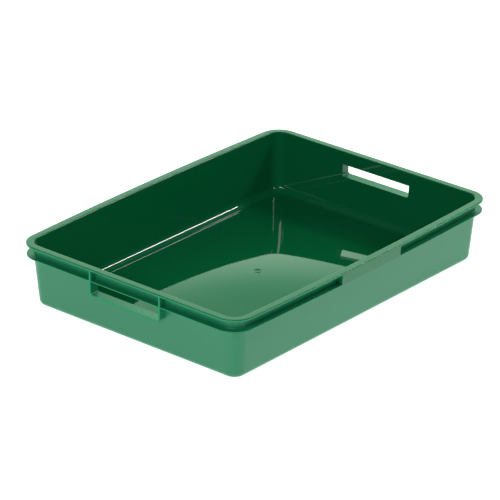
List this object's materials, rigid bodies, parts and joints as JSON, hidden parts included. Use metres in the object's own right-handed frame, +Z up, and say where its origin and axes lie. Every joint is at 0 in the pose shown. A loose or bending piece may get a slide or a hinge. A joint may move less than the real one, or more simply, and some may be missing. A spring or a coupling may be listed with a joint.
{
  "type": "moulded tray",
  "caption": "Shallow green plastic tray with a flat rim, a second flange below it, and a framed hand grip cut through each short side",
  "frame": {"origin": "under the middle of the floor, on the surface that the tray stands on", "axes": "+X along the long side, +Y across, +Z up out of the tray"},
  "size_m": [0.442, 0.323, 0.075],
  "materials": {
    "green_plastic": "gloss inside, satin outside"
  },
  "bodies": {
    "root": {"tray": "green_plastic"}
  },
  "joints": []
}
